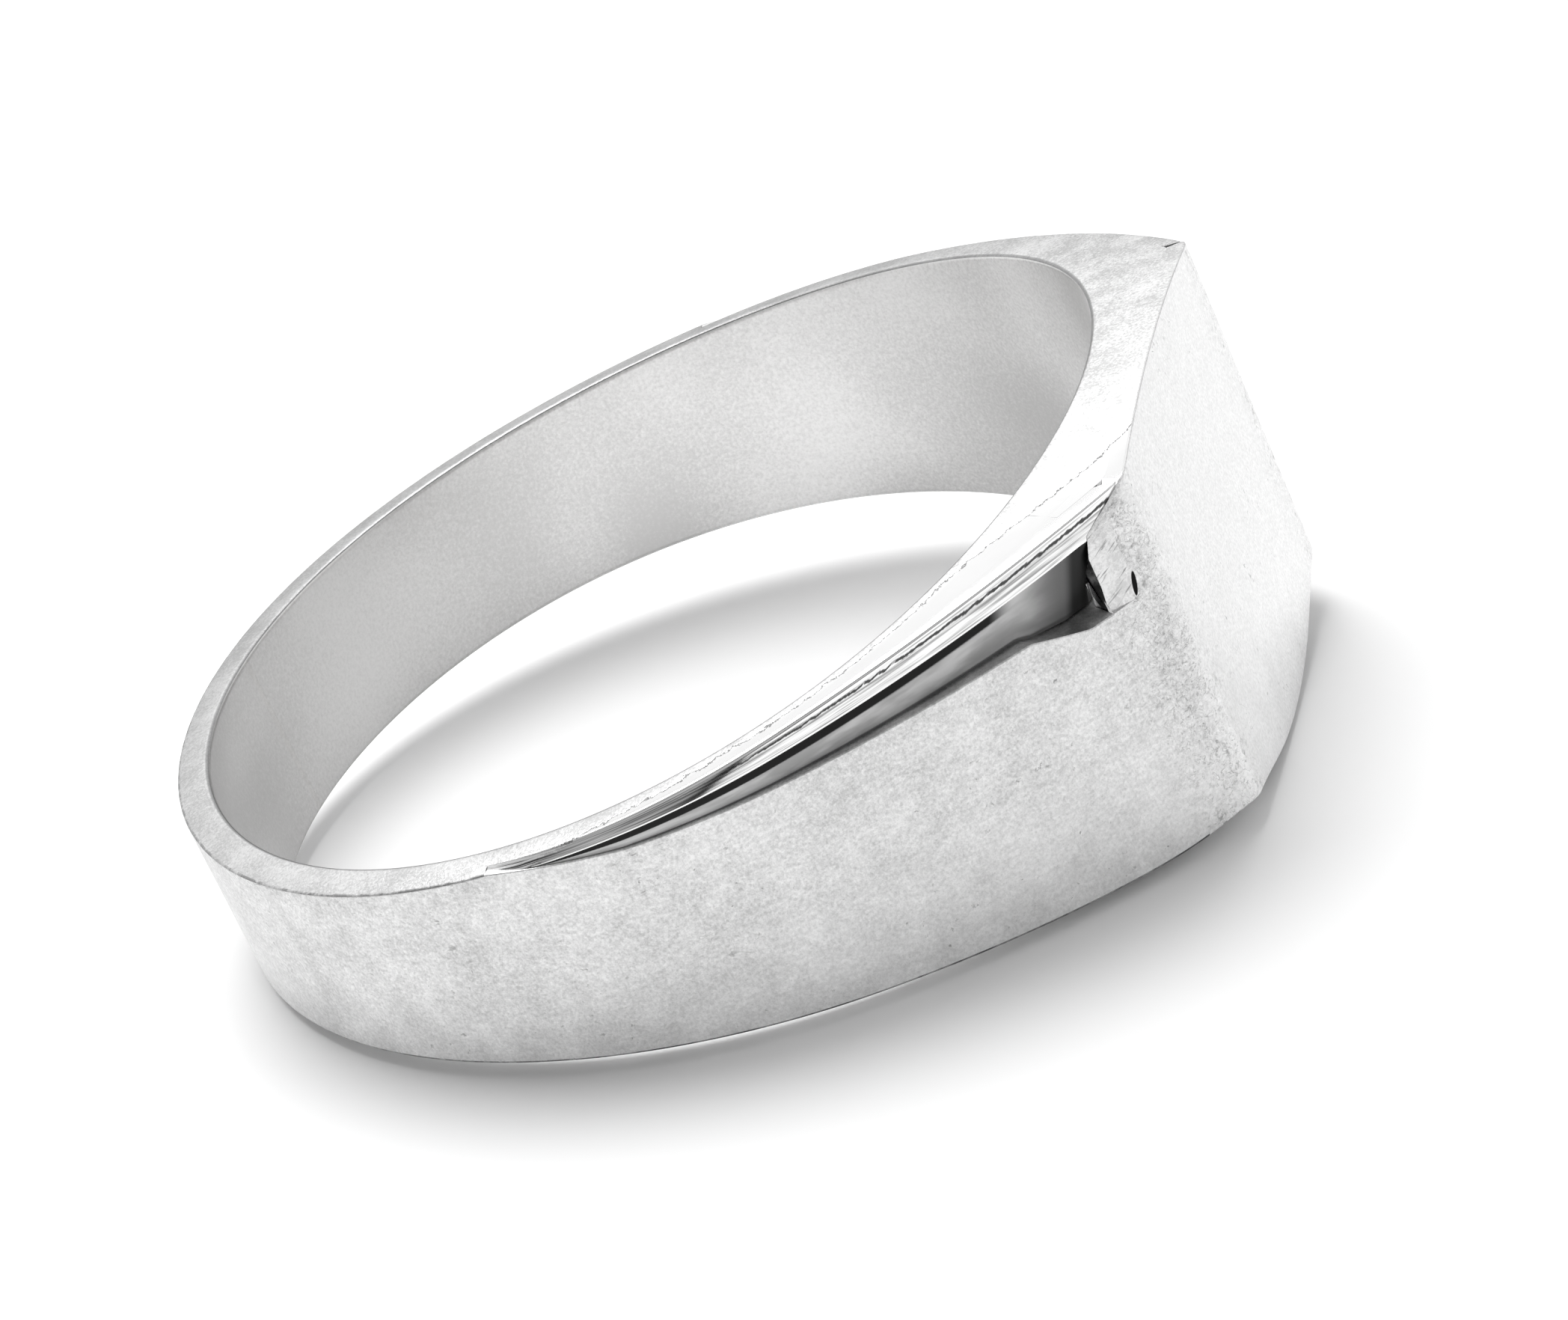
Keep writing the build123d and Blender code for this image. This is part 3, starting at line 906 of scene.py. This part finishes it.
FOOT_GAP = 0.004            # keeps the cheek's foot off the strap's edge


def make_cheek():
    """Polished facet and wall of the near shoulder."""
    phi = cheek_angles()
    one = np.ones_like(phi)
    f = features(phi)
    ledge = f["ledge"] + ledge_lift(phi) - FOOT_GAP
    # the facet and its two edges run on past the end wall, to the table's corner
    phi_v = cheek_angles(angle_at(1.06))
    phi_3 = cheek_angles(angle_at(0.06))
    fv = features(phi_v)
    v = xyz(fv["v_r"], phi_v, fv["v_z"])
    r3 = features(phi_3)["r3"]
    edge3 = xyz(r3, phi_3, side_at(r3, phi_3))
    lateral_in = xyz(BAND * one, phi, side_at(BAND * one, phi))
    mid_r = (BAND + r3) / 2
    mid_phi = (phi + phi_3) / 2
    lateral_mid = xyz(mid_r, mid_phi, side_at(mid_r, mid_phi))
    foot_in = xyz(BAND * one, phi, ledge)
    foot = xyz(f["wall"], phi, ledge)
    P = np.stack([foot_in, lateral_in, lateral_mid, edge3, v, foot], 1)
    return sweep("near_cheek_silver", rounded(P, [0, 0, 0, 0.05, 0.045, 0]), materials=(CHEEK_POLISHED,))


def make_cheeks():
    near = make_cheek()
    far = mirrored(near, "far_cheek_silver")
    for piece, node in ((near, "near_cheek"), (far, "far_cheek")):
        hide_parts(node)
    return [near, far]


def paint_table(table):
    """Satin outside, polished sides, and the filed bevels beside the notches."""
    mesh = table.data
    for m in (SATIN, POLISHED, BEVEL_FILED, RECESS_SHADE):
        mesh.materials.append(m)
    for face in mesh.polygons:
        c = face.center / MM
        n = face.normal
        s = (c.x - CORNER[0]) * RUN_BACK[0] + (abs(c.y) + CORNER[1]) * -RUN_BACK[1]
        if abs(n.z) > 0.75:
            face.material_index = 1
        elif s > BEVEL_PAINT_BACK and c.z > BEVEL_FOOT:
            face.material_index = 2
        else:
            face.material_index = 0
    # painted shade on the notch's end walls
    paint_recess_shade(table, 3)


pieces = make_band()
pieces.append(make_back_strap())
pieces += make_shoulders()
pieces.append(make_core())
table = make_table()
paint_table(table)
pieces.append(table)
pieces += make_cheeks()
for piece in pieces:
    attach(piece, "root")


# ---- floor, light and camera ------------------------------------------------------------------
LEAN = math.radians(3.5)     # the ring leans this much towards its near side


def floor_plane():
    """Turn and place of the plane that the ring's lower side rests on."""
    slope = math.atan2(HALF_HEAD - HALF_BACK, TABLE_X + SHANK)
    turn = Matrix.Rotation(slope, 3, "Y") @ Matrix.Rotation(-LEAN, 3, "X")
    down = turn @ Vector((0, 0, -1))
    co = np.concatenate([np.array([v.co for v in p.data.vertices]) for p in pieces])
    return turn, down * (float((co @ np.array(down)).max()) + 0.00001)


def make_floor():
    turn, place = floor_plane()
    mesh = bpy.data.meshes.new("floor")
    half = 0.4
    corners = [(-half, -half, 0), (half, -half, 0), (half, half, 0), (-half, half, 0)]
    mesh.from_pydata(corners, [], [(0, 1, 2, 3)])
    floor = link("floor", mesh)
    floor.matrix_world = Matrix.Translation(place) @ turn.to_4x4()
    n = Nodes("white_paper")
    paper = n.mix(n.noise(n.place, 60, 2.0), grey(0.90), grey(0.93))
    mesh.materials.append(n.surface(paper, 0.0, 0.9))


def make_light(name, place, size, power):
    data = bpy.data.lights.new(name, "AREA")
    data.shape = "DISK"
    data.size = size
    data.energy = power
    light = link(name, data)
    light.location = place
    light.rotation_mode = "QUATERNION"
    light.rotation_quaternion = (-Vector(place)).to_track_quat("-Z", "Y")


WORLD_HEIGHT = ((0.0, 0.6), (0.48, 0.6), (0.5, 0.05), (0.54, 0.05), (0.57, 0.8), (0.66, 1.15), (0.75, 1.15),
                (0.86, 0.65), (1.0, 0.55))
WORLD_BACK = (0.0, 0.9, 0.3)
WORLD_DEPTH = ((0.0, 0.34), (0.35, 0.44), (0.65, 0.92), (1.0, 1.0))
WORLD_POWER = 1.12


def make_world():
    """Soft tent: bright behind the ring, dimmer in front, with a dark strip along its foot."""
    world = bpy.data.worlds.new("studio")
    bpy.context.scene.world = world
    world.use_nodes = True
    tree = world.node_tree
    back = tree.nodes["Background"]
    coord = tree.nodes.new("ShaderNodeTexCoord")

    def ramp_along(direction, stops):
        dot = tree.nodes.new("ShaderNodeVectorMath")
        dot.operation = "DOT_PRODUCT"
        dot.inputs[1].default_value = Vector(direction).normalized()
        tree.links.new(coord.outputs["Generated"], dot.inputs[0])
        lift = tree.nodes.new("ShaderNodeMath")
        lift.operation = "MULTIPLY_ADD"
        lift.inputs[1].default_value = lift.inputs[2].default_value = 0.5
        tree.links.new(dot.outputs["Value"], lift.inputs[0])
        band = tree.nodes.new("ShaderNodeValToRGB")
        tree.links.new(lift.outputs[0], band.inputs["Fac"])
        points = band.color_ramp.elements
        for i, (where, v) in enumerate(stops):
            stop = points[i] if i < 2 else points.new(where)
            stop.position, stop.color = where, (v, v, v, 1)
        return band.outputs["Color"]

    height = ramp_along((0, 0, 1), WORLD_HEIGHT)
    depth = ramp_along(WORLD_BACK, WORLD_DEPTH)
    both = tree.nodes.new("ShaderNodeMix")
    both.data_type, both.blend_type = "RGBA", "MULTIPLY"
    both.inputs["Factor"].default_value = 1.0
    tree.links.new(height, both.inputs[6])
    tree.links.new(depth, both.inputs[7])
    tree.links.new(both.outputs[2], back.inputs["Color"])
    back.inputs["Strength"].default_value = WORLD_POWER


CAMERA_BACK = np.array([0.3485, -0.8291, 0.4373])
CAMERA_RIGHT = np.array([0.9073, 0.1813, -0.3794])
CAMERA_DISTANCE, CAMERA_ASIDE, CAMERA_DROP = 120, 1.63, 0.10
CAMERA_LENS, CAMERA_SENSOR = 143.16, 36


def make_camera():
    back, right = CAMERA_BACK, CAMERA_RIGHT
    up = np.cross(back, right)
    place = (back * CAMERA_DISTANCE + right * CAMERA_ASIDE - up * CAMERA_DROP) * MM
    data = bpy.data.cameras.new("camera")
    data.sensor_width = CAMERA_SENSOR
    data.lens = CAMERA_LENS
    data.clip_start, data.clip_end = 0.005, 5
    camera = link("camera", data)
    basis = Matrix((right, up, back)).transposed().to_4x4()
    camera.matrix_world = Matrix.Translation(place) @ basis
    bpy.context.scene.camera = camera


make_floor()
make_light("softbox_top", (-0.06, 0.15, 0.36), 0.30, 1.3)
make_world()
make_camera()
bpy.context.scene.view_settings.view_transform = "Standard"
bpy.context.scene.view_settings.look = "None"
